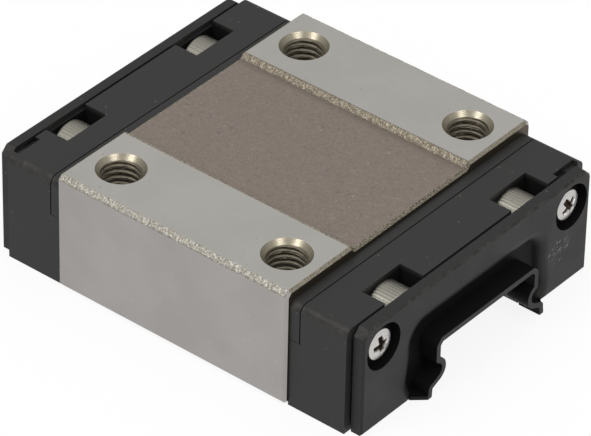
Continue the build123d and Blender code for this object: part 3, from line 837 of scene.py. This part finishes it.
def cross_cut(run, rise, turn):
    """Depth of the driver's cross at a place on the screw's face; each arm has sloping walls and ends."""
    across, up = run * cos(turn) + rise * sin(turn), rise * cos(turn) - run * sin(turn)

    def arm(length, width):
        inside = np.clip((cross_half_width + cross_wall_slope - np.abs(width)) / cross_wall_slope, 0, 1)
        reach = np.clip((cross_half_span - np.abs(length)) / cross_end_slope, 0, 1)
        return inside * reach
    return cross_depth * np.maximum(arm(across, up), arm(up, across))


def seal_screw_head(middle_y, turn):
    """Rings over the face, down the side and in under the head; height = top - dome - cross."""
    angle = np.linspace(0, 2 * pi, 160, endpoint=False)[None, :]
    reach = np.linspace(0.01, 0.97, 40)[:, None] * seal_head_radius
    dome = dome_height * (reach / seal_head_radius) ** 2
    face = seal_head_top - dome - cross_cut(reach * np.cos(angle), reach * np.sin(angle), turn)

    edge_radius = np.array([0.995, 1.0, 1.0, 0.97, 0.6])[:, None] * seal_head_radius
    edge_along = seal_head_top - np.array([0.26, 0.32, 0.55, 0.6, 0.6])[:, None] * mm
    radius = np.concatenate([reach, edge_radius]) + 0 * angle
    along = np.concatenate([face, edge_along + 0 * angle])
    return rounds(along, radius, middle_y, screw_height)


print("crosses turned by", [round(turn, 2) for _, turn in seal_screw_turns], "radians")

# %% [markdown]
# The crosses get painted shade. How deep a vertex lies in a cross is worked out once more with the same
# function and stored in an attribute, which the material reads to turn brown and dull where it lies deep.

# %% Painted shade in the crosses
def shaded_cross_metal():
    """Plated steel that a stored depth turns dark brown and dull: painted shade deep in a driver's cross."""
    material, tree, shader, place = new_material("seal_screw_steel")
    cross_shade = add(tree, "Attribute", attribute_name="cross_shade").outputs["Fac"]
    streaks = noise(tree, place, 0.12 * mm, 3, 0.6)
    bright = blend_colour(tree, streaks, grey(0.50, 0.03), grey(0.62, 0.03))
    # Painted shade: dark brown where a vertex lies deep in a cross.
    colour = blend_colour(tree, ramp(tree, cross_shade, 0.12, 0.5), bright, (0.05, 0.038, 0.026, 1))
    tree.links.new(colour, shader.inputs["Base Color"])
    shader.inputs["Metallic"].default_value = 0.95
    tree.links.new(ramp(tree, cross_shade, 0.1, 0.5, 0.34, 0.65), shader.inputs["Roughness"])
    tree.links.new(bump(tree, streaks, 0.004 * mm, 0.6), shader.inputs["Normal"])
    return material


def mark_cross_shade(piece, front):
    """Store how deep each vertex lies in a cross, as a share of the cross's depth, in an attribute for the
    painted shade.
    """
    places = np.empty(len(piece.data.vertices) * 3)
    piece.data.vertices.foreach_get("co", places)
    along, across, up = (places.reshape(-1, 3) * front).T
    dip = np.zeros(len(along))
    for side, turn in seal_screw_turns:
        run = across - side * seal_screw_y
        rise = up * front[2] - screw_height
        near = np.hypot(run, rise) < seal_head_radius * 0.98
        on_face = along > seal_head_top - seal_head_height * 0.98
        share = cross_cut(run, rise, turn) / cross_depth
        dip = np.maximum(dip, np.where(near & on_face, share, 0.0))
    cross_shade = piece.data.attributes.new("cross_shade", "FLOAT", "POINT")
    cross_shade.data.foreach_set("value", dip)
    print(piece.name, "has", int((dip > 0.5).sum()), "vertices deep in a cross")


# %% [markdown]
# Head and shank are made for both sides of the front seal, and then turned round for the rear seal.

# %% Seal screws
shank_start = seal_head_top - seal_head_height + 0.05 * mm
seal_screws = []
for side, turn in seal_screw_turns:
    shank = screw_shank(shank_start, seal_shank_tip, radius=0.8 * mm, thread_pitch=0.35 * mm,
                        depth=0.14 * mm, middle_y=side * seal_screw_y, middle_z=screw_height)
    seal_screws += [(seal_screw_head(side * seal_screw_y, turn), False), (shank, False)]
rear_seal_screws = [(half_turn(points), ring) for points, ring in seal_screws]

seal_screw_steel = shaded_cross_metal()
for end, skins, front in (("front", seal_screws, (1, 1, 1)), ("rear", rear_seal_screws, (-1, -1, 1))):
    piece = make_piece(f"{end}_seal_screws_fine", skins, seal_screw_steel)
    mark_cross_shade(piece, np.array(front))
    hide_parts(f"{end}_seal_screws")

# %% [markdown]
# ## Floor and light
# A product picture has a seamless white ground. The floor's own light is mixed in only for rays that
# the camera, a gloss or a glass sends, so it looks white while it lights the carriage no more than a
# pale table would. A small share of what those rays see is still the lit floor, which keeps the shadow.

# %% Floor
floor_size = 1.2
floor_mesh = bpy.data.meshes.new("floor")
corner_x = np.array([-1, 1, 1, -1]) * floor_size
corner_y = np.array([-1, -1, 1, 1]) * floor_size
floor_points = np.stack([corner_x, corner_y, np.full(4, -0.01 * mm)], axis=-1)
floor_mesh.from_pydata(floor_points.tolist(), [], [(0, 1, 2, 3)])
floor = bpy.data.objects.new("floor", floor_mesh)
bpy.context.scene.collection.objects.link(floor)

paper, tree, shader, place = new_material("white_paper")
shader.inputs["Base Color"].default_value = grey(0.8)
shader.inputs["Roughness"].default_value = 1.0
shader.inputs["Specular IOR Level"].default_value = 0.0
light_path = add(tree, "LightPath").outputs
seen = either(tree, light_path["Is Camera Ray"], light_path["Is Glossy Ray"],
              light_path["Is Transmission Ray"])
glow = add(tree, "Emission", {"Color": grey(1.0), "Strength": 1.0}).outputs[0]
glow_share = both(tree, seen, 0.88)
ground = add(tree, "MixShader", {0: glow_share, 1: shader.outputs[0], 2: glow}).outputs[0]
tree.links.new(ground, tree.nodes["Material Output"].inputs["Surface"])
floor_mesh.materials.append(paper)
print("floor is", 2 * floor_size, "m wide")

# %% [markdown]
# Soft light comes from a pale world that is brighter overhead than at the horizon, as in a studio with
# a light tent, and from two large lamps. They hang to the left and to the right of the camera, and the
# far side of every countersink shows them as two bright patches. The left one is a little stronger.

# %% Light
world = bpy.data.worlds.new("studio")
world.use_nodes = True
bpy.context.scene.world = world
sky = world.node_tree
direction = add(sky, "TexCoord").outputs["Generated"]
height = add(sky, "SeparateXYZ", {"Vector": direction}).outputs[2]
overhead = ramp(sky, height, 0.0, 0.9)
sky_colour = blend_colour(sky, overhead, (0.25, 0.25, 0.25, 1.0), (1.0, 1.0, 1.0, 1.0))
sky.links.new(sky_colour, sky.nodes["Background"].inputs["Color"])
sky.nodes["Background"].inputs["Strength"].default_value = 1.0


def soft_lamp(name, place, width, power):
    """A square lamp at this place that faces the origin."""
    data = bpy.data.lights.new(name, "AREA")
    data.size = width
    data.energy = power
    lamp = bpy.data.objects.new(name, data)
    back = np.array(place) / np.linalg.norm(place)
    right = np.cross((0, 0, 1), back)
    right = right / np.linalg.norm(right)
    up = np.cross(back, right)
    turned = Matrix((right.tolist(), up.tolist(), back.tolist())).transposed()
    lamp.matrix_world = Matrix.Translation(place) @ turned.to_4x4()
    bpy.context.scene.collection.objects.link(lamp)
    print(name, "gives", power, "W")


soft_lamp("left_lamp", (-0.16, -0.53, 0.65), 0.32, 2.4)
soft_lamp("right_lamp", (0.53, -0.12, 0.65), 0.32, 1.8)
bpy.context.scene.view_settings.view_transform = "Standard"
